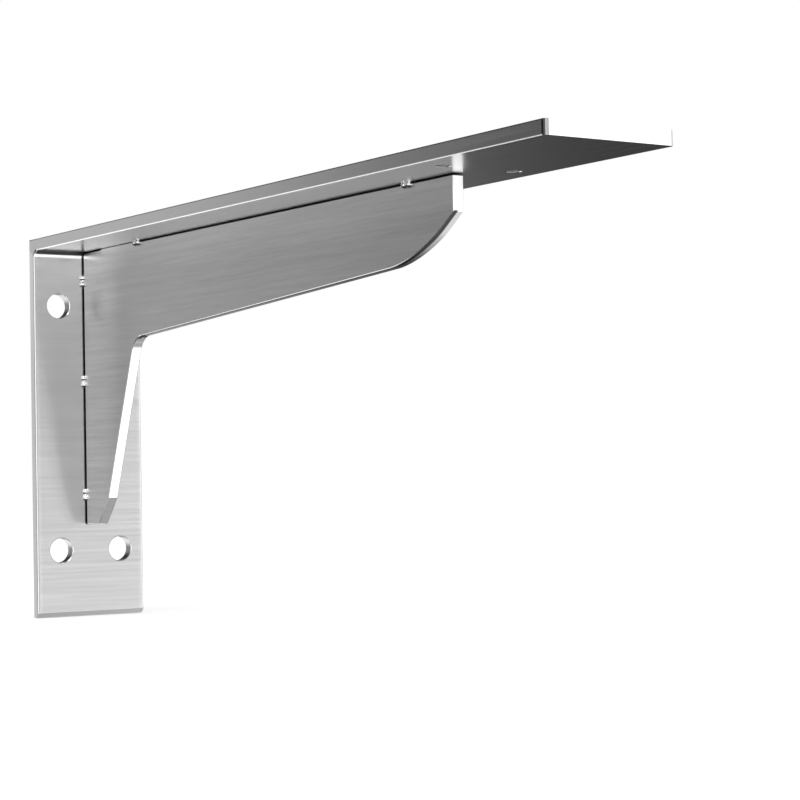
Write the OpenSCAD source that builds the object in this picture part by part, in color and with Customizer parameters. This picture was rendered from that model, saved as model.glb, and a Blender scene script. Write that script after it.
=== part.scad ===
// Shelf and worktop bracket for a wall: one flat bar formed into an L, stiffened on its
// inner side by an upright gusset plate that is tack welded along both runs of the bar.
// The wall is the plane Y = 0, the arm runs out towards -Y, Z is up, and the origin is
// the centre of the four wall holes on the wall side of the leg.

/* [Bar] */
// Width of the flat bar
bar_w = 63.5; // [50:0.5:80]
// Thickness of the flat bar
bar_t = 6.35; // [5:0.05:8]
// Height of the upright leg, over the arm
leg_h = 205.0; // [190:0.5:260]
// Length of the arm, out from the wall
arm_l = 457.2; // [400:0.1:600]
// Radius of the four long edges of the bar
edge_r = 1.0; // [0.4:0.1:1.8]
// Radius inside the bend
bend_r = 3.0; // [2:0.25:5]
// Radius of the two corners at the arm's tip, seen from above
tip_r = 2.0; // [1:0.5:10]
// Size of the bevel across the front of the leg's foot
foot_bevel = 2.7; // [1:0.1:4]

/* [Wall holes] */
// Diameter of the four wall holes
wall_hole_d = 13.5; // [8:0.5:15]
// Distance between the holes across the leg
wall_hole_pitch = 35.2; // [30:0.2:36]
// Top of the bracket to the upper pair of holes
upper_hole_drop = 36.0; // [30:0.5:50]
// Foot of the leg to the lower pair of holes
lower_hole_rise = 36.0; // [14:0.5:40]

/* [Arm holes] */
// Diameter of the two screw holes in the arm
arm_hole_d = 6.5; // [4:0.5:9]
// Distance between the screw holes across the arm
arm_hole_pitch = 36.0; // [30:0.5:40]
// Tip of the arm to the screw holes
arm_hole_setback = 85.5; // [30:0.5:95]
// Chamfer at both mouths of every hole
hole_chamfer = 0.3; // [0.2:0.1:1]

/* [Gusset] */
// Thickness of the gusset plate
gusset_t = 5.4; // [4:0.1:8]
// Wall to the end face of the gusset
gusset_reach = 357.0; // [300:1:360]
// Top of the bracket to the foot of the gusset
gusset_drop = 155.0; // [145:1:180]
// Width of the gusset at its foot
foot_w = 15.6; // [10:0.2:24]
// Height of the steep stretch just above the foot
foot_slope_h = 14.2; // [8:0.2:20]
// Width of the gusset at the top of that steep stretch
shin_w = 27.4; // [26:0.2:34]
// Leg to the inside corner between the two limbs of the gusset
notch_out = 60.0; // [50:1:80]
// Depth of the gusset under the arm at that inside corner
notch_depth = 50.2; // [44:0.2:60]
// Radius in that inside corner
notch_r = 12.0; // [6:0.5:18]
// Depth of the gusset under the arm at its outer shoulder
shoulder_depth = 35.0; // [28:0.5:42]
// Length of the sloping stretch from the shoulder to the end face
shoulder_run = 27.5; // [20:0.5:40]
// Radius that rounds the shoulder
shoulder_r = 36.0; // [10:1:50]
// Height of the end face under the arm
end_h = 15.8; // [8:0.2:22]

/* [Seam and welds] */
// Gap that the gusset's edge leaves to the bar between its lands
seam_gap = 0.6; // [0.2:0.1:1.2]
// Length of each land, where the gusset seats on the bar under a tack
land_l = 8.0; // [4:0.5:12]
// Where the gusset's long land on the arm starts, out from the wall
long_land_start = 28.0; // [16:1:40]
// Radius of one drop of a tack weld
drop_r = 1.5; // [1:0.1:2]
// Distance between the two drops of a tack weld
drop_pitch = 4.0; // [2:0.1:4]
// Radius of the low bead that joins the two drops
bead_r = 1.0; // [0.9:0.1:1.4]
// How far the drops' centres stand clear of the bar
bar_stand = 0.8; // [0.2:0.05:0.8]
// How far the drops' centres stand clear of the gusset's side face
plate_stand = 0.2; // [0.1:0.05:0.6]
// Top of the bracket to the first tack on the leg
leg_tack_drop = 22.0; // [15:0.5:30]
// First tack on the leg to the second
leg_tack_step = 55.0; // [30:1:80]
// Foot of the gusset up to the last tack on the leg
leg_tack_rise = 16.0; // [8:0.5:24]
// Wall to the first tack on the arm
arm_tack_out = 71.0; // [50:1:120]
// End face of the gusset back to the last tack on the arm
arm_tack_setback = 34.0; // [10:1:80]

/* [Hidden] */
$fn = 96;

// Overshoot of a cutting shape past the face that it cuts
over = 1.0;
// Height of the top of the bracket over the origin, midway between the hole rows
top_z = (leg_h + upper_hole_drop - lower_hole_rise) / 2;
// Half the distance between the two hole rows
row_half = top_z - upper_hole_drop;
// Edges of the gusset beside the seams, out from the wall and down from the top
seam_out = bar_t + seam_gap;
seam_down = bar_t + seam_gap;

// Corners of the gusset as [out from the wall, up from the top of the bracket]
heel = [seam_out, -seam_down];
sole_back = [seam_out, -gusset_drop];
sole_front = [bar_t + foot_w, -gusset_drop];
shin = [bar_t + shin_w, -gusset_drop + foot_slope_h];
notch = [bar_t + notch_out, -bar_t - notch_depth];
shoulder = [gusset_reach - shoulder_run, -bar_t - shoulder_depth];
end_low = [gusset_reach, -bar_t - end_h];
end_high = [gusset_reach, -seam_down];
gusset_corners = [heel, sole_back, sole_front, shin, notch, shoulder, end_low, end_high];
// Radius at each of those corners, where 0 leaves it sharp
gusset_radii = [bend_r - seam_gap, 0, 0, 0, notch_r, shoulder_r, 0, 0];
// Largest turn between two neighbouring points of a rounded corner
arc_step = 3;

// Tacks as distances along each seam
leg_tacks = [leg_tack_drop, leg_tack_drop + leg_tack_step, gusset_drop - leg_tack_rise];
arm_tacks = [arm_tack_out, gusset_reach - arm_tack_setback];

// Unit vector from one point towards another
function towards(a, b) = (b - a) / norm(b - a);

// A vector turned by an angle
function turned(v, angle) =
    [v.x * cos(angle) - v.y * sin(angle), v.x * sin(angle) + v.y * cos(angle)];

// Arc of radius r in place of a corner, as points from the side before it to the side after
function rounded(corner, before, after, r) =
    let (
        u = towards(corner, before),
        v = towards(corner, after),
        half = acos(u * v) / 2,
        centre = corner + towards([0, 0], u + v) * r / sin(half),
        spoke = corner + u * r / tan(half) - centre,
        sweep = (90 - half) * 2 * sign(cross(v, u)),
        steps = ceil(abs(sweep) / arc_step)
    )
    [for (i = [0:steps]) centre + turned(spoke, sweep * i / steps)];

// Draws a profile of [out from the wall, up from the top] as an upright plate
module side_profile(thickness) {
    translate([0, 0, top_z])
        rotate([90, 0, -90])
            linear_extrude(height = thickness, center = true)
                children();
}

// Cross-section of the bar: X across its width, from 0 down through its thickness
module bar_section() {
    inset_w = bar_w / 2 - edge_r;
    translate([-inset_w, -bar_t]) square([2 * inset_w, bar_t]);
    translate([-bar_w / 2, edge_r - bar_t]) square([bar_w, bar_t - 2 * edge_r]);
    for (x = [-inset_w, inset_w], y = [-edge_r, edge_r - bar_t])
        translate([x, y]) circle(edge_r);
}

// The upright run of the bar, mitred where it turns into the arm and bevelled at its foot
module leg_run() {
    low = -leg_h - over;
    intersection() {
        translate([0, 0, top_z - leg_h]) linear_extrude(leg_h) bar_section();
        side_profile(bar_w + 2 * over)
            polygon([
                [-over, over],
                [bar_t + over, -bar_t - over],
                [bar_t + over, foot_bevel + over - leg_h],
                [bar_t - foot_bevel - over, low],
                [-over, low]
            ]);
    }
}

// The level run of the bar, mitred where it turns into the leg
module arm_run() {
    far = arm_l + over;
    intersection() {
        translate([0, 0, top_z]) rotate([90, 0, 0]) linear_extrude(arm_l) bar_section();
        side_profile(bar_w + 2 * over)
            polygon([[-over, over], [far, over], [far, -bar_t - over], [bar_t + over, -bar_t - over]]);
    }
}

// The round inside of the bend
module bend_round() {
    side_profile(bar_w)
        difference() {
            translate([bar_t - edge_r, -bar_t - bend_r]) square(bend_r + edge_r);
            translate([bar_t + bend_r, -bar_t - bend_r]) circle(bend_r);
        }
}

// What rounding takes off the two corners at the tip of the arm
module tip_corners() {
    for (side = [-1, 1])
        translate([side * (bar_w / 2 - tip_r), tip_r - arm_l, top_z - bar_t - over])
            linear_extrude(bar_t + 2 * over)
                difference() {
                    translate([min(0, side * (tip_r + over)), -tip_r - over]) square(tip_r + over);
                    circle(tip_r);
                }
}

// A hole through the bar along +Z from its lower face, with a chamfer at each mouth
module hole(d) {
    mouth_d = d + 2 * (hole_chamfer + over);
    translate([0, 0, -over]) cylinder(d = d, h = bar_t + 2 * over);
    translate([0, 0, -over])
        cylinder(d1 = mouth_d, d2 = d, h = hole_chamfer + over);
    translate([0, 0, bar_t - hole_chamfer])
        cylinder(d1 = d, d2 = mouth_d, h = hole_chamfer + over);
}

module wall_holes() {
    for (x = [-1, 1] * wall_hole_pitch / 2, z = [-row_half, row_half])
        translate([x, 0, z]) rotate([90, 0, 0]) hole(wall_hole_d);
}

module arm_holes() {
    for (x = [-1, 1] * arm_hole_pitch / 2)
        translate([x, arm_hole_setback - arm_l, top_z - bar_t]) hole(arm_hole_d);
}

module bent_bar() {
    color("#b9bbbd")
        difference() {
            union() {
                leg_run();
                arm_run();
                bend_round();
            }
            tip_corners();
            wall_holes();
            arm_holes();
        }
}

// Outline of the gusset, clear of the bar by the seam gap all along
module gusset_outline() {
    last = len(gusset_corners) - 1;
    polygon([
        for (i = [0:last])
            let (
                corner = gusset_corners[i],
                before = gusset_corners[i == 0 ? last : i - 1],
                after = gusset_corners[i == last ? 0 : i + 1]
            )
            each gusset_radii[i] > 0 ? rounded(corner, before, after, gusset_radii[i]) : [corner]
    ]);
}

// Lands where the gusset's edge comes right up to the bar
module lands() {
    for (down = leg_tacks)
        translate([bar_t, -down - land_l / 2]) square([seam_gap + over, land_l]);
    for (out = arm_tacks)
        translate([out - land_l / 2, -seam_down - over]) square([land_l, seam_gap + over]);
    translate([long_land_start, -seam_down - over])
        square([arm_tack_out - long_land_start, seam_gap + over]);
}

module gusset() {
    color("#a9abad")
        side_profile(gusset_t) {
            gusset_outline();
            lands();
        }
}

// Two drops and the bead between them, along +Z, in the corner that faces +X and +Y
module tack() {
    half_l = drop_pitch / 2 + drop_r + over;
    reach = drop_r + max(bar_stand, plate_stand) + over;
    intersection() {
        translate([plate_stand, bar_stand, 0]) {
            for (z = [-1, 1] * drop_pitch / 2) translate([0, 0, z]) sphere(drop_r);
            cylinder(r = bead_r, h = drop_pitch, center = true);
        }
        translate([0, 0, -half_l]) cube([reach, reach, 2 * half_l]);
    }
}

// Tacks on the -X and +X sides of the gusset, against the leg
module leg_tack_welds() {
    color("#d8dadc")
        for (side = [0, 1], down = leg_tacks)
            mirror([side, 0, 0])
                translate([gusset_t / 2, -bar_t, top_z - down])
                    rotate([180, 0, 0]) tack();
}

// Tacks on the -X and +X sides of the gusset, under the arm
module arm_tack_welds() {
    color("#d8dadc")
        for (side = [0, 1], out = arm_tacks)
            mirror([side, 0, 0])
                translate([gusset_t / 2, -out, top_z - bar_t])
                    rotate([-90, 0, 0]) tack();
}

bent_bar();
gusset();
leg_tack_welds();
arm_tack_welds();
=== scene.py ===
# %% [markdown]
# # A flat-bar wall bracket in brushed stainless steel
#
# The bracket holds up a shelf or a worktop. It is made of three things: one flat bar that is
# bent into an L, one upright plate that stiffens the inside of the L, and small tack welds
# that hold the two together.
#
# A measured model of it is loaded first, and every piece made here has to sit where that
# model says. It could be given a finish as it is, but its triangles are loose and its edges
# ideal, so each part is modelled again in the same place with the edges of real metal.

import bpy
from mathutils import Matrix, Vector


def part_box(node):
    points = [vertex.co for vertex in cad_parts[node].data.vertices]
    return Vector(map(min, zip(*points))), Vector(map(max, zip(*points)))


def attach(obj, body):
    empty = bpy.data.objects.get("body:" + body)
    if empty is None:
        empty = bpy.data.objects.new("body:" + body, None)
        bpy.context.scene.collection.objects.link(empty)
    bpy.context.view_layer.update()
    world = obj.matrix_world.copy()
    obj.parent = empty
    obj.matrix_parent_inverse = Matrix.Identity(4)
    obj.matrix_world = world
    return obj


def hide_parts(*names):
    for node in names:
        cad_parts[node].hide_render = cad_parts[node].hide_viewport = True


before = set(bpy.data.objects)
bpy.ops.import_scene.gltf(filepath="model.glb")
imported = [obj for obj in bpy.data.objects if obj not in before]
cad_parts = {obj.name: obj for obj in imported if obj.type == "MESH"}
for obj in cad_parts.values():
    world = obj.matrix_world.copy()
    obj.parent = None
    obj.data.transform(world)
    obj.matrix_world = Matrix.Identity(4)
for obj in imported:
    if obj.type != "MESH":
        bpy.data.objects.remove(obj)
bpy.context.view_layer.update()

# %% Tools and units
import math

import bmesh
import bpy
from mathutils import Vector

MM = 0.001
print("one unit is a metre, so a millimetre is", MM)

# %% [markdown]
# ## Sizes
#
# The boxes of the measured parts give the outer sizes, so that nothing here can drift away
# from them. What a box can't give, such as the thickness of the bar or the radius of a bend,
# is written out once, in millimetres, and is used by name from here on.

# %% Sizes of the bar
bar_low, bar_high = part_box("bent_bar")
bar_half_w = bar_high.x
tip_y = bar_low.y
top_z = bar_high.z
foot_z = bar_low.z
bar_t = 6.35 * MM
bar_edge_r = 1.0 * MM
rim_edge_r = 0.35 * MM
bend_r = 4.0 * MM
tip_r = 2.0 * MM
foot_bevel = 2.7 * MM
leg_face_y = -bar_t
arm_face_z = top_z - bar_t
print("bar", round(bar_half_w * 2 / MM, 1), "mm wide, arm", round(-tip_y / MM, 1), "mm long")

# %% Sizes of the holes
wall_hole_r = 6.75 * MM
wall_hole_x = 17.6 * MM
wall_hole_z = 66.5 * MM
arm_hole_r = 3.25 * MM
arm_hole_x = 18.0 * MM
arm_hole_y = tip_y + 85.5 * MM
hole_chamfer = 0.3 * MM
hole_sides = 96
cutter_over = 1.0 * MM
print("wall holes", round(wall_hole_r * 2 / MM, 1), "mm, arm holes", round(arm_hole_r * 2 / MM, 1), "mm")

# %% Sizes of the stiffening plate
plate_low, plate_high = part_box("gusset")
plate_half_t = plate_high.x
plate_end_y = plate_low.y
plate_foot_z = plate_low.z
leg_gap = 1.2 * MM
arm_gap = 0.6 * MM
seam_y = leg_face_y - leg_gap
seam_z = arm_face_z - arm_gap
sole_y = leg_face_y - 15.6 * MM
shin_y = leg_face_y - 27.4 * MM
shin_z = plate_foot_z + 14.2 * MM
notch_y = leg_face_y - 60.0 * MM
notch_z = arm_face_z - 50.2 * MM
notch_r = 12.0 * MM
shoulder_y = plate_end_y + 27.5 * MM
shoulder_z = arm_face_z - 34.2 * MM
shoulder_r = 80.0 * MM
end_z = arm_face_z - 15.8 * MM
heel_r = 2.0 * MM
plate_edge_r = 0.5 * MM
print("plate", round(plate_half_t * 2 / MM, 1), "mm thick, reaches", round(-plate_end_y / MM, 1), "mm")

# %% Sizes of the seams and the tack welds
land_l = 8.0 * MM
long_land_y = -28.0 * MM
leg_tack_z = [top_z - 22.0 * MM, top_z - 77.0 * MM, plate_foot_z + 16.0 * MM]
arm_tack_y = [-71.0 * MM, plate_end_y + 34.0 * MM]
drop_r = 1.5 * MM
drop_pitch = 3.5 * MM
bead_r = 0.8 * MM
drop_off_bar = 0.8 * MM
drop_off_plate = 0.2 * MM
print("tack welds", len(leg_tack_z), "on the leg and", len(arm_tack_y), "on the arm, on both sides")

# %% [markdown]
# ## Camera
#
# The picture to match looks along the wall, from the left and from about the height of the
# leg's middle, through a fairly long lens. The camera could be set by eye, but a bar this
# long shows every degree. So its place, turn and lens were solved from corners of the
# measured model and the same corners in the picture, which is 800 pixels square.

# %% Camera
camera_data = bpy.data.cameras.new("product_camera")
camera_data.sensor_width = 36.0
camera_data.lens = 99.014
camera_data.clip_start = 0.02
camera_data.clip_end = 60.0
camera = bpy.data.objects.new("product_camera", camera_data)
camera.location = (-0.53524, -1.10066, -0.03044)
camera.rotation_euler = [math.radians(a) for a in (92.0179, 1.0958, -34.0746)]
bpy.context.scene.collection.objects.link(camera)
bpy.context.scene.camera = camera
print("camera", round(camera.location.length, 2), "m from the leg, lens", round(camera_data.lens), "mm")

# %% [markdown]
# ## A room for the steel to mirror
#
# Brushed steel has next to no colour of its own: it shows the room. Lamps alone would give
# hard spots with black between them. So the room is painted by direction, in the nodes of
# the world: a grey shell first, then black flags that hold light back, then soft lights.
# Each of them depends only on the angle between a direction and an axis.
#
# The world reads its own direction and nothing of the camera, so every view is lit alike.

# %% World
world = bpy.data.worlds.new("soft_studio")
world.use_nodes = True
bpy.context.scene.world = world
wn, wl = world.node_tree.nodes, world.node_tree.links
wn.clear()
room_direction = wn.new("ShaderNodeTexCoord").outputs["Generated"]
light_path = wn.new("ShaderNodeLightPath")


def arithmetic(tree):
    """Gives a function that adds one step of arithmetic on sockets or numbers to the tree."""
    def calc(operation, a, b=0.0):
        node = tree.nodes.new("ShaderNodeMath")
        node.operation = operation
        for socket, value in zip(node.inputs, (a, b)):
            if isinstance(value, (int, float)):
                socket.default_value = value
            else:
                tree.links.new(value, socket)
        return node.outputs[0]
    return calc


room_calc = arithmetic(world.node_tree)
print("world", world.name)

# %% Brightness by angle
HALF_TURN = 180.0


def room_ramp(axis, stops):
    """Brightness of the room by the angle in degrees between a direction and an axis."""
    along = wn.new("ShaderNodeVectorMath")
    along.operation = "DOT_PRODUCT"
    along.inputs[1].default_value = Vector(axis).normalized()
    wl.new(room_direction, along.inputs[0])
    angle = room_calc("ARCCOSINE", along.outputs["Value"])
    ramp = wn.new("ShaderNodeValToRGB")
    wl.new(room_calc("DIVIDE", angle, math.pi), ramp.inputs[0])
    keys = ramp.color_ramp.elements
    while len(keys) > 1:
        keys.remove(keys[0])
    for i, (degrees, strength) in enumerate(stops):
        key = keys[0] if i == 0 else keys.new(degrees / HALF_TURN)
        key.position = degrees / HALF_TURN
        key.color = (strength, strength, strength, 1.0)
    return ramp.outputs["Color"]


def combine(operation, a, b):
    """Adds or multiplies two brightnesses of the room."""
    total = wn.new("ShaderNodeVectorMath")
    total.operation = operation
    wl.new(a, total.inputs[0])
    wl.new(b, total.inputs[1])
    return total.outputs["Vector"]


def panel(axis, strength, full, gone):
    """A round soft light: full strength up to one angle from its axis, gone at another."""
    return room_ramp(axis, [(0, strength), (full, strength), (gone, 0.0), (HALF_TURN, 0.0)])


def flag(axis, share, full, gone):
    """A round black flag that lets through only a share of the light behind it."""
    return room_ramp(axis, [(0, share), (full, share), (gone, 1.0), (HALF_TURN, 1.0)])


# %% [markdown]
# ### The shell
#
# The shell's axis runs through the wall, from front to back. The flat sides of the arm and
# of the plate, and the underside of the arm, mirror the first 40 degrees round its back end,
# where the shell falls from pale to dark: that is why the arm darkens towards its tip. The
# front of the leg mirrors the other end, which is pale again. The dark ring between them
# gives the dark lines on rounded edges that tell the eye that a thing is metal.

# %% Shell of the room
room = room_ramp(
    (0, 1, 0),
    [(0, 0.65), (20, 0.63), (26, 0.61), (29, 0.57), (32, 0.40), (35, 0.19), (37, 0.10),
     (40, 0.05), (46, 0.05), (74, 0.07), (80, 0.12), (84, 0.48), (88, 0.51), (96, 0.40),
     (105, 0.40), (118, 0.61), (180, 0.61)])
print("shell of the room painted")

# %% [markdown]
# ### Flags and lights
#
# A flag multiplies what is behind it, and a light adds to it. Each stands where one surface
# of the bracket looks: this was found by mirroring the line of sight at that surface. The
# lights stay narrow, so that they don't spill into the broad flat faces.

# %% Flags and lights
FLAGS = (
    # axis, share let through, full to and gone at, in degrees
    ((-0.38, -0.20, -0.90), 0.10, 10, 18),   # dark inside of the bend
    ((0.03, 0.90, 0.43), 0.08, 14, 24),      # dark line along the top edge of the arm
    ((-0.42, -0.90, -0.15), 0.54, 8, 17),    # where leg and plate mirror each other
)
LIGHTS = (
    # axis, strength, full to and gone at, in degrees
    ((-0.966, -0.26, 0.0), 1.15, 20, 30),    # rounded left edge of the leg
    ((0.90, -0.40, 0.10), 0.70, 18, 28),     # right edges
    ((-0.12, 0.85, -0.51), 1.10, 17, 27),    # lower left edge of the arm
    ((0.60, -0.785, 0.14), 1.20, 7, 9),      # upright end of the plate
    ((0.60, -0.79, -0.12), 2.10, 4, 7),      # the same end, mirrored under the arm
    ((0.36, -0.90, -0.24), 0.50, 5, 12),     # foot of the leg
    ((0.45, -0.66, -0.60), 1.40, 14, 22),    # sloping front of the plate's lower part
    ((-0.43, -0.62, -0.66), 1.30, 14, 22),   # bright lower half of the bend
    ((-0.43, -0.84, -0.33), 1.25, 7, 13),    # leg just under the bend
    ((-0.12, -0.83, -0.54), 1.30, 10, 16),   # lower edge of the plate, by way of the leg
    ((-0.75, -0.10, 0.65), 1.50, 8, 16),     # upper sides of the tack welds
    ((0.62, 0.16, -0.77), 0.65, 8, 13),      # slope of the plate's shoulder
    ((0.55, 0.40, -0.70), 0.50, 8, 14),      # start of the shoulder
)
for axis, share, full, gone in FLAGS:
    room = combine("MULTIPLY", room, flag(axis, share, full, gone))
for axis, strength, full, gone in LIGHTS:
    room = combine("ADD", room, panel(axis, strength, full, gone))
print(len(FLAGS), "flags and", len(LIGHTS), "lights in the room")

# %% [markdown]
# ### Who sees what
#
# Steel mirrors the room, the camera looks past the bracket into plain white, and dull
# surfaces get one even light. The path of each ray says which of the three it is. A white
# sheet behind the bracket would do for the camera, but the steel would mirror it too.

# %% Who sees the room
EVEN_LIGHT = 0.9
CAMERA_WHITE = 1.0


def blend_by(factor, a, b):
    """Room light a, or b where the factor is 1. Each is a socket or a plain brightness."""
    mix = wn.new("ShaderNodeMix")
    mix.data_type = "RGBA"
    wl.new(factor, mix.inputs["Factor"])
    for socket, value in (("A", a), ("B", b)):
        target = [s for s in mix.inputs if s.name == socket and s.type == "RGBA"][0]
        if isinstance(value, float):
            target.default_value = (value, value, value, 1.0)
        else:
            wl.new(value, target)
    return [s for s in mix.outputs if s.type == "RGBA"][0]


seen_by_steel = blend_by(light_path.outputs["Is Glossy Ray"], EVEN_LIGHT, room)
seen_by_camera = blend_by(light_path.outputs["Is Camera Ray"], seen_by_steel, CAMERA_WHITE)
background = wn.new("ShaderNodeBackground")
wl.new(seen_by_camera, background.inputs["Color"])
world_out = wn.new("ShaderNodeOutputWorld")
wl.new(background.outputs[0], world_out.inputs["Surface"])
print("world has", len(wn), "nodes")

# %% [markdown]
# ## Floor
#
# The floor is a pale plane just under the foot. It has to come out nearly as white as the
# backdrop and still keep the shadow of the bracket. A brighter colour would wash the steel
# with light from below, so the floor gets a faint glow instead, which only the camera sees.
# The steel doesn't mirror the floor, because the room already has its lower half.

# %% Floor
floor_size = 12.0
floor_drop = 0.3 * MM
bpy.ops.object.select_all(action="DESELECT")
bpy.ops.mesh.primitive_plane_add(size=floor_size, location=(0, 0, foot_z - floor_drop))
floor = bpy.context.active_object
floor.name = "floor"
floor.visible_glossy = False
print("floor", round(floor_drop / MM, 1), "mm under the foot")

# %% Finish of the floor
FLOOR_COLOUR = (0.80, 0.80, 0.80, 1.0)
floor_finish = bpy.data.materials.new("pale_floor")
floor_finish.use_nodes = True
fn, fl = floor_finish.node_tree.nodes, floor_finish.node_tree.links
fn.clear()
floor_diffuse = fn.new("ShaderNodeBsdfDiffuse")
floor_diffuse.inputs["Color"].default_value = FLOOR_COLOUR
floor_glow = fn.new("ShaderNodeEmission")
floor_glow.inputs["Strength"].default_value = 0.30
floor_dark = fn.new("ShaderNodeEmission")
floor_dark.inputs["Strength"].default_value = 0.0
floor_pick = fn.new("ShaderNodeMixShader")
fl.new(fn.new("ShaderNodeLightPath").outputs["Is Camera Ray"], floor_pick.inputs[0])
fl.new(floor_dark.outputs[0], floor_pick.inputs[1])
fl.new(floor_glow.outputs[0], floor_pick.inputs[2])
floor_sum = fn.new("ShaderNodeAddShader")
fl.new(floor_diffuse.outputs[0], floor_sum.inputs[0])
fl.new(floor_pick.outputs[0], floor_sum.inputs[1])
fl.new(floor_sum.outputs[0], fn.new("ShaderNodeOutputMaterial").inputs["Surface"])
floor.data.materials.append(floor_finish)
print("finish", floor_finish.name)

# %% [markdown]
# ## Lamp
#
# One large soft lamp hangs over the arm. The room alone lights the bracket well enough, but
# it comes from all round and leaves no shadow at the foot. The lamp is large, so the shadow
# is soft, and weak, so the steel keeps its tones.

# %% Lamp
lamp_data = bpy.data.lights.new("overhead_softbox", "AREA")
lamp_data.shape = "RECTANGLE"
lamp_data.size = 1.4
lamp_data.size_y = 1.0
lamp_data.energy = 14.0
lamp_aim = Vector((0, -0.15, 0))
lamp = bpy.data.objects.new("overhead_softbox", lamp_data)
lamp.location = (-0.9, -0.9, 1.9)
lamp.rotation_euler = (lamp_aim - lamp.location).to_track_quat("-Z", "Y").to_euler()
bpy.context.scene.collection.objects.link(lamp)
bpy.context.scene.view_settings.view_transform = "Standard"
print("lamp", lamp_data.energy, "W")

# %% [markdown]
# ## Ways of working in edit mode
#
# By hand, one clicks a face or an edge and then uses a tool on it. In code the click becomes
# a question that each face or edge answers by its place or by the way it faces. Element
# numbers would be shorter, but they change with every cut.

# %% Selecting by place
NEAR = 0.02 * MM
FACING = 0.9


def near(a, b):
    """True for two points in the same place."""
    return (Vector(a) - Vector(b)).length < NEAR


def level(a, b):
    """True for two equal coordinates."""
    return abs(a - b) < NEAR


def middle(part):
    """Centre of an edge or a face in edit mode."""
    return sum((v.co for v in part.verts), Vector()) / len(part.verts)


def pick(kind, wanted):
    """Selects the edges or the faces for which wanted is true, and nothing else."""
    bpy.ops.mesh.select_mode(type=kind)
    bpy.ops.mesh.select_all(action="DESELECT")
    mesh = bpy.context.edit_object.data
    shape = bmesh.from_edit_mesh(mesh)
    parts = shape.edges if kind == "EDGE" else shape.faces
    shape.normal_update()
    picked = [p for p in parts if wanted(p)]
    for part in picked:
        part.select_set(True)
    bmesh.update_edit_mesh(mesh)
    return len(picked)


print("places count as the same within", round(NEAR / MM, 2), "mm")

# %% Working on one piece


def only(piece):
    """Makes a piece the active one, with nothing else selected."""
    bpy.ops.object.select_all(action="DESELECT")
    bpy.context.view_layer.objects.active = piece
    piece.select_set(True)


def block(name, low, high):
    """A block between two corners, with its place in its mesh."""
    bpy.ops.object.select_all(action="DESELECT")
    low, high = Vector(low), Vector(high)
    bpy.ops.mesh.primitive_cube_add(size=1.0, location=(low + high) / 2, scale=high - low)
    piece = bpy.context.active_object
    piece.name = piece.data.name = name
    bpy.ops.object.transform_apply(location=True, rotation=True, scale=True)
    return piece


def finish_normals(piece, angle):
    """Rounds the shading over edges flatter than the angle, and keeps the flat faces flat."""
    only(piece)
    bpy.ops.object.shade_smooth_by_angle(angle=math.radians(angle))
    weighted = piece.modifiers.new("flat_faces_stay_flat", "WEIGHTED_NORMAL")
    weighted.keep_sharp = True
    weighted.weight = 100
    bpy.ops.object.modifier_apply(modifier=weighted.name)


# %% [markdown]
# ## The bent bar
#
# The real bar is sheared from flat stock and folded once in a press. It could be drawn as an
# L and given its width, but here the making leads: the arm is a block, and the leg is pulled
# down out of the end of its underside. The press leaves the outside of the bend sharp and
# the inside round. The tip's upright corners are rounded, and the foot has one wide bevel
# along its front.

# %% The L of the bar
bar = block("formed_bar", (-bar_half_w, tip_y, arm_face_z), (bar_half_w, 0, top_z))
bpy.ops.object.mode_set(mode="EDIT")
bpy.ops.mesh.select_all(action="SELECT")
bpy.ops.mesh.bisect(plane_co=(0, leg_face_y, 0), plane_no=(0, 1, 0))
pick("FACE", lambda f: f.normal.z < -FACING and middle(f).y > leg_face_y)
bpy.ops.mesh.extrude_region_move(TRANSFORM_OT_translate={"value": (0, 0, foot_z - arm_face_z)})
print("leg pulled down by", round((arm_face_z - foot_z) / MM, 1), "mm")

# %% Bend, tip and foot
found = pick("EDGE", lambda e: near(middle(e), (0, leg_face_y, arm_face_z)))
bpy.ops.mesh.bevel(offset=bend_r, segments=12, affect="EDGES")
print("inside of the bend rounded from", found, "edge")

half_up = (top_z + arm_face_z) / 2
found = pick("EDGE", lambda e: level(middle(e).y, tip_y) and level(middle(e).z, half_up))
bpy.ops.mesh.bevel(offset=tip_r, segments=8, affect="EDGES")
print("tip corners rounded from", found, "edges")

found = pick("EDGE", lambda e: near(middle(e), (0, leg_face_y, foot_z)))
bpy.ops.mesh.bevel(offset=foot_bevel, segments=1, affect="EDGES")
bpy.ops.object.mode_set(mode="OBJECT")
print("foot bevelled along", found, "edge")

# %% [markdown]
# ### Broken edges
#
# No edge of handled steel stays sharp. The long edges are drawn over a belt and come out
# round, and catch the bright line that runs along the whole bracket. The rims of the foot
# and of the tip are only touched with a file. One bevel over all edges would be quicker, but
# at the tip the two radii meet on short edges, so the long edges go first and the rims
# second, each by its own bevel weight.

# %% Which edges are broken
LONG_EDGE_FROM = math.radians(60)
RIM_FROM = math.radians(30)


def near_an_end(e):
    """True for an edge that lies within the foot or within the tip."""
    a, b = (v.co for v in e.verts)
    in_foot = max(a.z, b.z) < foot_z + foot_bevel + NEAR
    in_tip = max(a.y, b.y) < tip_y + tip_r + NEAR
    return in_foot or in_tip


def is_long_edge(e):
    """True on the outline of either side of the bar, apart from the foot and the tip."""
    a, b = (v.co for v in e.verts)
    on_side = level(abs(a.x), bar_half_w) and level(abs(b.x), bar_half_w) and a.x * b.x > 0
    return on_side and e.calc_face_angle(0) > LONG_EDGE_FROM and not near_an_end(e)


def is_rim(e):
    """True on the sharp edges of the foot and of the tip."""
    return near_an_end(e) and e.calc_face_angle(0) > RIM_FROM


# %% Broken edges of the bar


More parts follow.
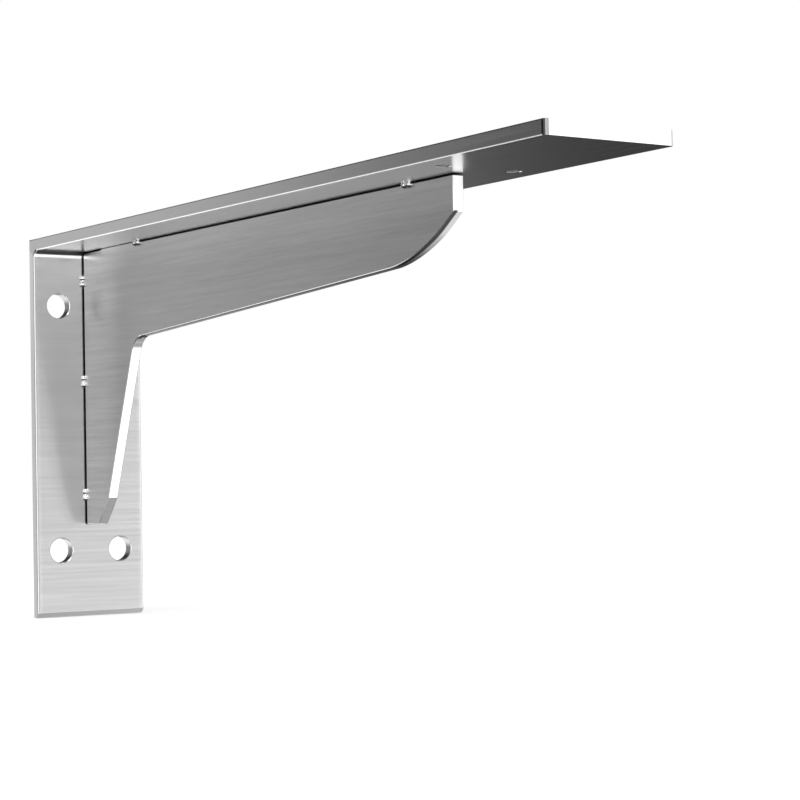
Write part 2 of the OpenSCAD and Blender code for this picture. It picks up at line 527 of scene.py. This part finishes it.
def break_edges(wanted, radius, clamp):
    """Rounds the wanted edges of the bar."""
    only(bar)
    bpy.ops.object.mode_set(mode="EDIT")
    bpy.ops.mesh.select_all(action="SELECT")
    bpy.ops.transform.edge_bevelweight(value=-1.0)
    found = pick("EDGE", wanted)
    bpy.ops.transform.edge_bevelweight(value=1.0)
    bpy.ops.object.mode_set(mode="OBJECT")
    soften = bar.modifiers.new("broken_edges", "BEVEL")
    soften.limit_method = "WEIGHT"
    soften.width = radius
    soften.segments = 5
    soften.use_clamp_overlap = clamp
    bpy.ops.object.modifier_apply(modifier=soften.name)
    print(found, "edges rounded by", round(radius / MM, 2), "mm")


break_edges(is_long_edge, bar_edge_r, False)
break_edges(is_rim, rim_edge_r, True)

# %% [markdown]
# ## The holes
#
# Four holes in the leg take wall bolts, and two in the arm take screws into the worktop. A
# drilled hole has a straight bore and a small chamfer at each mouth. The chamfers could be
# bevelled afterwards, edge by edge, but a cutter with flared ends makes bore and chamfers in
# one cut.

# %% Hole cutters


def hole_cutter(centre, radius, turned):
    """A flared cylinder through the bar, upright or turned to lie along Y."""
    bpy.ops.object.select_all(action="DESELECT")
    bpy.ops.mesh.primitive_cylinder_add(
        vertices=hole_sides, radius=radius, depth=bar_t - 2 * hole_chamfer, end_fill_type="NGON",
        location=centre, rotation=(math.radians(90) if turned else 0, 0, 0))
    cutter = bpy.context.active_object
    bpy.ops.object.transform_apply(location=True, rotation=True, scale=True)
    axis = Vector((0, 1, 0)) if turned else Vector((0, 0, 1))
    centre = Vector(centre)
    mouth = (radius + hole_chamfer + cutter_over) / radius
    bpy.ops.object.mode_set(mode="EDIT")
    for side in (-1, 1):
        pick("FACE", lambda f: len(f.verts) > 4 and f.normal.dot(axis) * side > FACING)
        step = axis * side * (hole_chamfer + cutter_over)
        bpy.ops.mesh.extrude_region_move(TRANSFORM_OT_translate={"value": step})
        widen = (mouth, 1, mouth) if turned else (mouth, mouth, 1)
        bpy.ops.transform.resize(value=widen, center_override=centre)
    bpy.ops.object.mode_set(mode="OBJECT")
    return cutter


wall_cutters = [hole_cutter((x, leg_face_y / 2, z), wall_hole_r, True)
                for x in (-wall_hole_x, wall_hole_x) for z in (-wall_hole_z, wall_hole_z)]
arm_cutters = [hole_cutter((x, arm_hole_y, half_up), arm_hole_r, False)
               for x in (-arm_hole_x, arm_hole_x)]
print(len(wall_cutters) + len(arm_cutters), "cutters")

# %% Drill the bar
for cutter in wall_cutters + arm_cutters:
    only(bar)
    drill = bar.modifiers.new("drill", "BOOLEAN")
    drill.operation = "DIFFERENCE"
    drill.solver = "EXACT"
    drill.object = cutter
    bpy.ops.object.modifier_apply(modifier=drill.name)
    bpy.data.objects.remove(cutter)
BAR_SMOOTH_UNDER = 32
finish_normals(bar, BAR_SMOOTH_UNDER)
print("bar:", len(bar.data.polygons), "faces")

# %% [markdown]
# ## The stiffening plate
#
# The real plate is cut from sheet in one outline: narrow at the foot, wider up the leg, round
# at the notch, shallow under the arm, and round again at the shoulder before its upright
# end. The outline could be typed in as points. Instead the plate starts as the small block of
# its foot and is grown round the corner, one face at a time, as one would by hand: extrude a
# face, then drag its two edges into place. The corners are rounded last.

# %% Growing an outline
FIRST_STEP = 5 * MM


def corner(y, z):
    """A corner of the outline, in the middle of the plate's thickness."""
    return Vector((0, y, z))


def drag_edge(start, end):
    """Moves the edge that crosses the plate at start to end."""
    if pick("EDGE", lambda e: near(middle(e), start)) != 1:
        raise ValueError(f"no single edge at {tuple(start)}")
    bpy.ops.transform.translate(value=end - start)


def grow(near_a, near_b, far_a, far_b, way):
    """Extrudes the face between two edges, and drags its new edges into place."""
    step = Vector(way) * FIRST_STEP
    pick("FACE", lambda f: near(middle(f), (near_a + near_b) / 2))
    bpy.ops.mesh.extrude_region_move(TRANSFORM_OT_translate={"value": step})
    drag_edge(near_a + step, far_a)
    drag_edge(near_b + step, far_b)


def round_corner(at, before, after, radius, segments):
    """Rounds the edge that crosses the plate at a corner of its outline."""
    half = (before - at).angle(after - at) / 2
    pick("EDGE", lambda e: near(middle(e), at))
    bpy.ops.mesh.bevel(offset=radius / math.tan(half), segments=segments, affect="EDGES")


# %% Outline of the plate
back_low = corner(seam_y, shin_z)
shin = corner(shin_y, shin_z)
heel = corner(seam_y, seam_z)
notch = corner(notch_y, notch_z)
over_shoulder = corner(shoulder_y, seam_z)
shoulder = corner(shoulder_y, shoulder_z)
end_top = corner(plate_end_y, seam_z)
end_low = corner(plate_end_y, end_z)

plate = block("stiffening_plate",
              (-plate_half_t, sole_y, plate_foot_z), (plate_half_t, seam_y, shin_z))
bpy.ops.object.mode_set(mode="EDIT")
drag_edge(corner(sole_y, shin_z), shin)
grow(back_low, shin, heel, notch, (0, 0, 1))
grow(heel, notch, over_shoulder, shoulder, (0, -1, 0))
grow(over_shoulder, shoulder, end_top, end_low, (0, -1, 0))
round_corner(notch, shin, shoulder, notch_r, 16)
round_corner(shoulder, notch, end_low, shoulder_r, 24)
round_corner(heel, back_low, over_shoulder, heel_r, 6)
print("plate stands", round(leg_gap / MM, 2), "mm off the leg,", round(arm_gap / MM, 2), "mm under the arm")

# %% [markdown]
# ### Where the plate touches
#
# The plate doesn't lie close along its whole back: a dark seam runs down the leg and along
# the arm, and it closes only at the tack welds and in the corner. A dark line painted on the
# steel would look the same from one side only. So the seam is a real gap, and short lands
# bridge it: the plate's back is cut across at two places, and what lies between is raised
# until it meets the bar. The gap also gets painted shade: its faces and a narrow band beside it are painted
# dark.

# %% Lands of the plate
SQUARE_ON = 0.99
SMALLEST_FACE = 1e-9


def faces_leg(f):
    """True on the plate's back, along the leg."""
    return f.normal.y > SQUARE_ON and level(middle(f).y, seam_y)


def faces_arm(f):
    """True on the plate's top, along the arm."""
    return f.normal.z > SQUARE_ON and level(middle(f).z, seam_z)


def add_land(cuts, axis, inside):
    """Cuts the plate's edge across at two places, and raises the stretch between them."""
    for place in cuts:
        pick("FACE", lambda f: inside(f) and f.calc_area() > SMALLEST_FACE)
        bpy.ops.mesh.bisect(plane_co=Vector(axis) * place, plane_no=axis)
    low, high = sorted(cuts)
    found = pick("FACE", lambda f: inside(f) and low < middle(f).dot(Vector(axis)) < high)
    raised = (0, leg_gap, 0) if axis[2] else (0, 0, arm_gap)
    bpy.ops.mesh.extrude_region_move(TRANSFORM_OT_translate={"value": raised})
    return found


half_land = land_l / 2
lands = 0
for z in leg_tack_z:
    lands += add_land((z - half_land, z + half_land), (0, 0, 1), faces_leg)
lands += add_land((arm_tack_y[0] - half_land, long_land_y), (0, 1, 0), faces_arm)
lands += add_land((arm_tack_y[1] - half_land, arm_tack_y[1] + half_land), (0, 1, 0), faces_arm)
bpy.ops.object.mode_set(mode="OBJECT")
print("lands raised:", lands)

# %% Broken edges of the plate
plate_soften = plate.modifiers.new("broken_edges", "BEVEL")
plate_soften.limit_method = "ANGLE"
plate_soften.angle_limit = math.radians(40)
plate_soften.width = plate_edge_r
plate_soften.segments = 1
bpy.ops.object.modifier_apply(modifier=plate_soften.name)
PLATE_SMOOTH_UNDER = 16
finish_normals(plate, PLATE_SMOOTH_UNDER)
print("plate:", len(plate.data.polygons), "faces")

# %% [markdown]
# ## The tack welds
#
# Each tack is two drops of metal that ran together in the corner between plate and bar. Two
# spheres alone would look like pearls. So two spheres and a short bead between them are
# joined, remeshed into one skin and smoothed, which gives the soft neck of metal that has
# flowed. One tack is made, and copied to both sides of the plate at each place.

# %% One tack weld
bpy.ops.object.select_all(action="DESELECT")
drops = []
for side in (-1, 1):
    bpy.ops.mesh.primitive_uv_sphere_add(
        segments=32, ring_count=16, radius=drop_r,
        location=(drop_off_plate, drop_off_bar, side * drop_pitch / 2))
    drops.append(bpy.context.active_object)
bpy.ops.mesh.primitive_cylinder_add(
    vertices=24, radius=bead_r, depth=drop_pitch, location=(drop_off_plate, drop_off_bar, 0))
drops.append(bpy.context.active_object)
for drop in drops:
    drop.select_set(True)
bpy.context.view_layer.objects.active = drops[0]
bpy.ops.object.join()
tack = bpy.context.active_object
tack.name = "tack"
bpy.ops.object.transform_apply(location=True, rotation=True, scale=True)
print("drops and bead joined")

# %% Metal that has flowed
fuse = tack.modifiers.new("fuse", "REMESH")
fuse.mode = "VOXEL"
fuse.voxel_size = 0.14 * MM
bpy.ops.object.modifier_apply(modifier=fuse.name)
flow = tack.modifiers.new("flow", "SMOOTH")
flow.iterations = 6
flow.factor = 0.5
bpy.ops.object.modifier_apply(modifier=flow.name)
bpy.ops.object.shade_smooth()
print("tack:", len(tack.data.polygons), "faces")

# %% All tack welds


def place_tacks(name, places, turn):
    """Copies the tack to both sides of the plate at each place, as one piece."""
    copies = []
    for place in places:
        for side in (-1, 1):
            copy = tack.copy()
            copy.data = tack.data.copy()
            bpy.context.scene.collection.objects.link(copy)
            copy.rotation_euler = (math.radians(turn), 0, 0)
            copy.location = (side * plate_half_t, place.y, place.z)
            copy.scale = (side, 1, 1)
            only(copy)
            bpy.ops.object.transform_apply(location=True, rotation=True, scale=True)
            bpy.ops.object.mode_set(mode="EDIT")
            bpy.ops.mesh.select_all(action="SELECT")
            bpy.ops.mesh.normals_make_consistent(inside=False)
            bpy.ops.object.mode_set(mode="OBJECT")
            copies.append(copy)
    only(copies[0])
    for copy in copies:
        copy.select_set(True)
    bpy.ops.object.join()
    piece = bpy.context.active_object
    piece.name = piece.data.name = name
    print(name, "from", len(copies), "tacks")
    return piece


leg_tacks = place_tacks("leg_tacks", [corner(leg_face_y, z) for z in leg_tack_z], 180)
arm_tacks = place_tacks("arm_tacks", [corner(y, arm_face_z) for y in arm_tack_y], -90)
bpy.data.objects.remove(tack)

# %% [markdown]
# ## The grain of brushed steel
#
# A belt leaves thousands of fine scratches that all run one way. Noise that is stretched
# along the scratches gives them at any size, where a painted image would blur close up.
# Three kinds of noise make up the grain: broad streaks, fine lines and slow clouds. Several
# finishes use it, so it is a node group with named sockets, built once.

# %% Node groups


def new_group(name, inputs, outputs):
    """An empty shader node group with named sockets, and its two end nodes."""
    tree = bpy.data.node_groups.new(name, "ShaderNodeTree")
    for title, kind in inputs:
        tree.interface.new_socket(title, in_out="INPUT", socket_type="NodeSocket" + kind)
    for title, kind in outputs:
        tree.interface.new_socket(title, in_out="OUTPUT", socket_type="NodeSocket" + kind)
    return tree, tree.nodes.new("NodeGroupInput"), tree.nodes.new("NodeGroupOutput")


# %% Grain
CLOUD_SCALE = 14.0
LINES_TO_STREAKS = 5.0


def build_grain():
    """Node group of a brushed surface: broad streaks, fine lines and slow clouds."""
    tree, given, result = new_group(
        "brushed_grain", [("Position", "Vector"), ("Stretch", "Vector")],
        [("Streaks", "Float"), ("Lines", "Float"), ("Clouds", "Float")])
    stretched = tree.nodes.new("ShaderNodeVectorMath")
    stretched.operation = "MULTIPLY"
    tree.links.new(given.outputs["Position"], stretched.inputs[0])
    tree.links.new(given.outputs["Stretch"], stretched.inputs[1])
    for name, source, scale, detail in (
            ("Streaks", stretched.outputs[0], 1.0, 3.0),
            ("Lines", stretched.outputs[0], LINES_TO_STREAKS, 2.0),
            ("Clouds", given.outputs["Position"], CLOUD_SCALE, 2.0)):
        noise = tree.nodes.new("ShaderNodeTexNoise")
        noise.inputs["Scale"].default_value = scale
        noise.inputs["Detail"].default_value = detail
        noise.inputs["Roughness"].default_value = 0.6
        tree.links.new(source, noise.inputs["Vector"])
        tree.links.new(noise.outputs["Fac"], result.inputs[name])
    return tree


grain = build_grain()
print("group", grain.name)

# %% [markdown]
# ## Bands along edges
#
# Painted shade darkens the seams and the inside of the bend, and painted light brightens the
# long edges of the bar and the top of the leg. Each is a band: full at an edge, fading out over
# a width, and a little ragged. A mask painted by hand would do for one piece. A group that
# turns a distance into a band works for all of them.

# %% Band along an edge
RAG_SCALE = 350.0


def build_edge_band():
    """Node group of a ragged band: 1 at no distance from an edge, 0 beyond the width."""
    tree, given, result = new_group(
        "edge_band",
        [("Position", "Vector"), ("Distance", "Float"), ("Width", "Float"), ("Raggedness", "Float")],
        [("Mask", "Float")])
    calc = arithmetic(tree)
    noise = tree.nodes.new("ShaderNodeTexNoise")
    noise.inputs["Scale"].default_value = RAG_SCALE
    noise.inputs["Detail"].default_value = 3.0
    tree.links.new(given.outputs["Position"], noise.inputs["Vector"])
    share = calc("DIVIDE", given.outputs["Distance"], given.outputs["Width"])
    wander = calc("MULTIPLY", calc("SUBTRACT", noise.outputs["Fac"], 0.5), given.outputs["Raggedness"])
    mask = tree.nodes.new("ShaderNodeMapRange")
    mask.interpolation_type = "SMOOTHSTEP"
    mask.inputs["To Min"].default_value = 1.0
    mask.inputs["To Max"].default_value = 0.0
    tree.links.new(calc("ADD", wander, share), mask.inputs["Value"])
    tree.links.new(mask.outputs["Result"], result.inputs["Mask"])
    return tree


edge_band = build_edge_band()
print("group", edge_band.name)

# %% [markdown]
# ## Brushed steel
#
# Light on brushed metal smears across the scratches and stays sharp along them. Modelling
# the scratches would take millions of faces, so the shader's anisotropy does it, with its
# tangent set along one axis of the bracket. The grain changes the tone and the roughness a
# little, and its fine lines feed a very shallow bump, so that light runs along them.
#
# Each finish may carry marks: bands that change the tone and the roughness near an edge. It
# may also have a bow, a slow rise of the surface towards the far end of the arm. Real sheet
# is never quite flat, and a degree of bow shows as a change of tone on a long plate.

# %% Pieces of a finish
NOISE_LOW, NOISE_HIGH = 0.3, 0.7


def spread(tree, value, low, high):
    """Stretches the middle of a noise over a range."""
    node = tree.nodes.new("ShaderNodeMapRange")
    node.inputs["From Min"].default_value = NOISE_LOW
    node.inputs["From Max"].default_value = NOISE_HIGH
    node.inputs["To Min"].default_value = low
    node.inputs["To Max"].default_value = high
    tree.links.new(value, node.inputs["Value"])
    return node.outputs["Result"]


def band(tree, place, distance, width, raggedness):
    """The mask of a band along an edge."""
    node = tree.nodes.new("ShaderNodeGroup")
    node.node_tree = edge_band
    node.inputs["Width"].default_value = width
    node.inputs["Raggedness"].default_value = raggedness
    tree.links.new(place, node.inputs["Position"])
    tree.links.new(distance, node.inputs["Distance"])
    return node.outputs["Mask"]


# %% Brushed steel
CLOUD_CONTRAST = 0.015
ROUGH_SPREAD = 0.03


def brushed_steel(name, colour, stretch, tangent, roughness, anisotropy, contrast, relief,
                  marks=(), bow=0.0):
    """A brushed metal. Each mark is a band: distance, width, raggedness, change of tone and
    change of roughness."""
    finish = bpy.data.materials.new(name)
    finish.use_nodes = True
    tree = finish.node_tree
    nodes, links, calc = tree.nodes, tree.links, arithmetic(tree)
    nodes.clear()
    place = nodes.new("ShaderNodeTexCoord").outputs["Object"]
    brush = nodes.new("ShaderNodeGroup")
    brush.node_tree = grain
    brush.inputs["Stretch"].default_value = stretch
    links.new(place, brush.inputs["Position"])
    at = nodes.new("ShaderNodeSeparateXYZ")
    links.new(place, at.inputs[0])

    streaks, lines, clouds = (brush.outputs[n] for n in ("Streaks", "Lines", "Clouds"))
    tone = calc("MULTIPLY", spread(tree, streaks, 1 - contrast, 1 + contrast),
                spread(tree, lines, 1 - contrast / 2, 1 + contrast / 2))
    tone = calc("MULTIPLY", tone, spread(tree, clouds, 1 - CLOUD_CONTRAST, 1 + CLOUD_CONTRAST))
    rough = spread(tree, streaks, roughness - ROUGH_SPREAD, roughness + ROUGH_SPREAD)
    for distance, width, raggedness, brighter, rougher in marks:
        mask = band(tree, place, distance(calc, at.outputs), width, raggedness)
        tone = calc("MULTIPLY", tone, calc("ADD", calc("MULTIPLY", mask, brighter), 1.0))
        rough = calc("ADD", rough, calc("MULTIPLY", mask, rougher))
    height = lines
    if bow:
        out = calc("MAXIMUM", calc("MULTIPLY", at.outputs["Y"], -1.0), 0.0)
        height = calc("ADD", height, calc("MULTIPLY", calc("POWER", out, 3.0), bow / relief))

    paint = nodes.new("ShaderNodeVectorMath")
    paint.operation = "SCALE"
    paint.inputs[0].default_value = colour
    links.new(tone, paint.inputs["Scale"])
    bump = nodes.new("ShaderNodeBump")
    bump.inputs["Strength"].default_value = 1.0
    bump.inputs["Distance"].default_value = relief
    links.new(height, bump.inputs["Height"])
    direction = nodes.new("ShaderNodeCombineXYZ")
    for socket, value in zip(direction.inputs, tangent):
        socket.default_value = value
    steel = nodes.new("ShaderNodeBsdfPrincipled")
    steel.inputs["Metallic"].default_value = 1.0
    steel.inputs["Anisotropic"].default_value = anisotropy
    links.new(paint.outputs[0], steel.inputs["Base Color"])
    links.new(rough, steel.inputs["Roughness"])
    links.new(bump.outputs[0], steel.inputs["Normal"])
    links.new(direction.outputs[0], steel.inputs["Tangent"])
    links.new(steel.outputs[0], nodes.new("ShaderNodeOutputMaterial").inputs["Surface"])
    print("finish", name)
    return finish


# %% [markdown]
# ## Where the marks lie
#
# A mark needs to know how far each point of a surface is from its edge. That could be
# painted on the mesh, but the bracket is straight, so a few sums on the coordinates give it
# exactly: how far beside, below or beyond a strip a point lies.

# %% Distances to the seams
RISE_PER_LENGTH = 0.2


def where_closed(calc, at):
    """A rise of some millimetres along the stretch where the plate touches the arm."""
    closed_middle = (arm_tack_y[0] + long_land_y) / 2
    closed_half = (long_land_y - arm_tack_y[0]) / 2
    off_middle = calc("ABSOLUTE", calc("SUBTRACT", at["Y"], closed_middle))
    inside = calc("SUBTRACT", closed_half, off_middle)
    return calc("MULTIPLY", calc("MAXIMUM", inside, 0.0), RISE_PER_LENGTH)


def from_leg_seam(calc, at):
    """How far a point of the leg is from the strip behind the plate."""
    beside = calc("SUBTRACT", calc("ABSOLUTE", at["X"]), plate_half_t)
    below = calc("SUBTRACT", plate_foot_z, at["Z"])
    behind = calc("SUBTRACT", at["Y"], leg_face_y)
    return calc("MAXIMUM", calc("MAXIMUM", beside, below), behind)


def from_arm_seam(calc, at):
    """How far a point of the arm is from the strip over the plate."""
    beside = calc("SUBTRACT", calc("ABSOLUTE", at["X"]), plate_half_t)
    beyond = calc("SUBTRACT", plate_end_y, at["Y"])
    above = calc("SUBTRACT", at["Z"], arm_face_z)
    from_strip = calc("MAXIMUM", calc("MAXIMUM", beside, beyond), above)
    return calc("ADD", from_strip, where_closed(calc, at))


def from_plate_back(calc, at):
    """How far a point of the plate is from its edges along the two seams."""
    under = calc("ADD", calc("SUBTRACT", seam_z, at["Z"]), where_closed(calc, at))
    return calc("MINIMUM", calc("SUBTRACT", seam_y, at["Y"]), under)


# %% Distances to the bend and to edges
# Where the painted shade on the plate's lower edge ends: the half towards negative X is painted dark.
shaded_half_edge_x = -0.8 * MM
bend_dark_y = leg_face_y - 2.2 * MM
bend_dark_z = arm_face_z - 0.6 * MM
bend_dark_r = 1.6 * MM


def from_shaded_half_edge(calc, at):
    """How far a point of the plate's lower edge is from the half of it that is painted dark as shade."""
    return calc("SUBTRACT", at["X"], shaded_half_edge_x)


def from_bend(calc, at):
    """How far a point is from the upper part of the inside of the bend."""
    out = calc("SUBTRACT", at["Y"], bend_dark_y)
    up = calc("SUBTRACT", at["Z"], bend_dark_z)
    apart = calc("SQRT", calc("ADD", calc("MULTIPLY", out, out), calc("MULTIPLY", up, up)))
    return calc("SUBTRACT", apart, bend_dark_r)


def from_tip_corner(calc, at):
    """How far a point of the arm's side is from the rounded corners of the tip."""
    return calc("SUBTRACT", at["Y"], tip_y + tip_r)


def from_bar_side(calc, at):
    """How far a point of the bar is from its long edges."""
    return calc("SUBTRACT", bar_half_w - bar_edge_r, calc("ABSOLUTE", at["X"]))


# %% [markdown]
# ## The finishes
#
# The bar and the plate are the same steel, but not brushed alike. The leg's scratches run
# across it, the arm's run along it, and the plate is a little duller, with broader streaks.
# Cut ends and rounded edges are smoother and bright; on the rounded long edges the brighter
# grey is a painted highlight. Half the width of the plate's lower edge is painted dark as shade.
# The bores are rougher and painted darker, as shade in a hollow. The welds are a lighter grey
# with painted shade on their undersides. Painted shade lies in the seams and in the bend, and
# painted light on the top of the leg.
#
# One finish for all would be less work, but these small differences are what the eye takes
# for a real, made object.

# %% Marks
# Painted shade along the seams: a dark band that reaches a little out of the gap onto the bar and the
# plate.
SEAM_SHADE_WIDTH = 0.4 * MM
SEAM_SHADE = (SEAM_SHADE_WIDTH, 0.4, -0.94, 0.3)
# Painted highlight: lighter bands inward from the long edges of the bar.
painted_highlight_leg_edge = (from_bar_side, 2.6 * MM, 0.3, 0.10, 0.0)
painted_highlight_arm_edge = (from_bar_side, 2.2 * MM, 0.5, 0.05, 0.0)
# Painted light on the top of the leg, fading out over its upper part below the bend.
painted_light_near_bend = (from_bend, 75 * MM, 0.0, 0.17, 0.0)
# Painted shade in the upper part of the inside of the bend.
painted_shade_in_bend = (from_bend, 0.7 * MM, 0.2, -0.88, 0.1)
# Painted shade on the arm's sides next to the rounded corners of the tip.
painted_shade_tip_corner = (from_tip_corner, 0.8 * MM, 0.2, -0.90, 0.1)
# Painted shade on half the width of the plate's lower edge.
painted_shade_half_edge = (from_shaded_half_edge, 0.8 * MM, 0.1, -0.92, 0.0)
print("soot reaches", round(SEAM_SHADE_WIDTH / MM, 2), "mm out of the seams")

# %% Finishes of the bar
ALONG_X, ALONG_Y, ALONG_Z = (1, 0, 0), (0, 1, 0), (0, 0, 1)
FINE = 0.002 * MM
FINER = 0.001 * MM


def grey(value):
    """A neutral colour, because stainless steel has no tint here."""
    return (value, value, value)


leg_steel = brushed_steel(
    "leg_steel", grey(0.78), (10, 10, 500), ALONG_Z, 0.22, 0.6, 0.03, FINE,
    (painted_highlight_leg_edge, painted_light_near_bend, painted_shade_in_bend, (from_leg_seam, *SEAM_SHADE)))
arm_steel = brushed_steel(
    "arm_steel", grey(0.78), (500, 8, 500), ALONG_X, 0.24, 0.6, 0.03, FINE,
    (painted_highlight_arm_edge, painted_shade_in_bend, (from_arm_seam, *SEAM_SHADE)))
arm_side_steel = brushed_steel(
    "arm_side_steel", grey(0.78), (500, 8, 500), ALONG_Z, 0.24, 0.6, 0.03, FINE,
    (painted_shade_tip_corner,))
cut_steel = brushed_steel(
    "cut_steel", grey(0.80), (600, 600, 200), ALONG_Z, 0.22, 0.0, 0.02, FINER)
# The rounded long edges are smoother and a lighter grey; the lighter grey is a painted highlight.
edge_steel = brushed_steel(
    "edge_steel", grey(0.84), (60, 60, 60), ALONG_Z, 0.22, 0.0, 0.03, FINER)
# The bores are rougher, and painted darker as shade inside a hollow.
bore_shade_steel = brushed_steel(
    "bore_shade_steel", grey(0.52), (300, 900, 300), ALONG_Y, 0.30, 0.3, 0.25, 0.004 * MM)

# %% Finishes of the plate and of the welds
PLATE_BOW = 0.05
plate_steel = brushed_steel(
    "plate_steel", grey(0.75), (10, 10, 420), ALONG_Z, 0.34, 0.35, 0.09, FINE,
    ((from_plate_back, *SEAM_SHADE),), PLATE_BOW)
# The plate's lower edge, with half of its width painted dark as shade.
half_shaded_edge_steel = brushed_steel(
    "half_shaded_edge_steel", grey(0.80), (600, 600, 200), ALONG_Z, 0.24, 0.0, 0.02, FINER, (painted_shade_half_edge,))
# Near black, for the plate's faces inside the seam gap: painted shade.
seam_shade_steel = brushed_steel(
    "seam_shade_steel", grey(0.06), (200, 200, 200), ALONG_Z, 0.60, 0.0, 0.20, 0.01 * MM)
weld_steel = brushed_steel(
    "weld_steel", grey(0.90), (300, 300, 300), ALONG_Z, 0.22, 0.0, 0.02, FINE)
# For the undersides of the welds: painted shade.
weld_shade_steel = brushed_steel(
    "weld_shade_steel", grey(0.10), (300, 300, 300), ALONG_Z, 0.45, 0.0, 0.20, FINE)

# %% [markdown]
# ## Which face gets which finish
#
# The faces are sorted by their place and by the way they face, in the same way as they were
# selected before. A mesh per finish would also do, but then the rounded edges between two
# finishes would come apart.

# %% Dress the bar
NOT_AT_ALL, HARDLY, HALFWAY, MOSTLY, STRAIGHT = 0.05, 0.1, 0.5, 0.7, 0.995
arm_starts_z = arm_face_z - 0.3 * bend_r


def bar_finish(face):
    """The finish of a face of the bar, by its place and by how far it faces each way."""
    c, n = face.center, face.normal
    in_leg = c.z < arm_starts_z and c.y > leg_face_y - bend_r
    from_hole = math.hypot(abs(c.x) - wall_hole_x, abs(c.z) - wall_hole_z)
    on_side_edge = NOT_AT_ALL < abs(n.x) < STRAIGHT and abs(c.x) > bar_half_w - bar_edge_r - NEAR
    on_tip = n.y < -MOSTLY and c.y < tip_y + tip_r + NEAR
    on_foot_bevel = n.y < -HALFWAY and n.z < -HALFWAY and c.z < foot_z + foot_bevel
    # Bores get the darker finish, as painted shade inside the hollow.
    if from_hole < wall_hole_r + NEAR and abs(n.y) < HARDLY:
        return bore_shade_steel
    if on_side_edge and c.y > tip_y + tip_r:
        return edge_steel
    if on_tip or on_foot_bevel:
        return cut_steel
    if abs(n.x) > MOSTLY:
        return leg_steel if in_leg else arm_side_steel
    return leg_steel if in_leg or n.y > MOSTLY else arm_steel


def dress(piece, finishes, choose):
    """Gives a piece its finishes, and each face the one that is chosen for it."""
    piece.data.materials.clear()
    for finish in finishes:
        piece.data.materials.append(finish)
    for face in piece.data.polygons:
        face.material_index = finishes.index(choose(face))
    print(piece.name, "has", len(finishes), "finishes")


dress(bar, [leg_steel, arm_steel, arm_side_steel, cut_steel, edge_steel, bore_shade_steel], bar_finish)

# %% Dress the plate and the welds
DOWNWARD, WELD_UNDERSIDE, NOT_CHAMFER = -0.45, -0.35, 0.3
rib_from_z = notch_z - 1 * MM


def plate_finish(face):
    """The finish of a face of the plate."""
    c, n = face.center, face.normal
    if abs(n.x) > FACING:
        return plate_steel
    # Faces inside the seam gap get the near-black finish, as painted shade.
    if c.y > seam_y - plate_edge_r or c.z > seam_z - plate_edge_r:
        return seam_shade_steel
    # Downward faces of the plate's lower edge get the finish with half its width painted dark as shade.
    if n.z < DOWNWARD and abs(n.x) < NOT_CHAMFER and c.z > rib_from_z:
        return half_shaded_edge_steel
    return cut_steel


def weld_finish(face):
    """The finish of a face of a tack weld: painted shade on what faces down."""
    return weld_shade_steel if face.normal.z < WELD_UNDERSIDE else weld_steel


dress(plate, [plate_steel, cut_steel, seam_shade_steel, half_shaded_edge_steel], plate_finish)
dress(leg_tacks, [weld_steel, weld_shade_steel], weld_finish)
dress(arm_tacks, [weld_steel, weld_shade_steel], weld_finish)

# %% [markdown]
# ## Which piece stands for which part
#
# Each new piece takes the place of one measured part, whose mesh is hidden. The record's name
# for its material is listed beside it but not used. Nothing on the bracket moves, so all of
# them belong to the one body there is.

# %% Pieces and parts
for piece, node, slot in (
        (bar, "bent_bar", "brushed_bar"), (plate, "gusset", "brushed_plate"),
        (leg_tacks, "leg_tack_welds", "weld_metal"), (arm_tacks, "arm_tack_welds", "weld_metal")):
    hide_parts(node)
    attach(piece, "root")
    print(piece.name, "stands for", node)
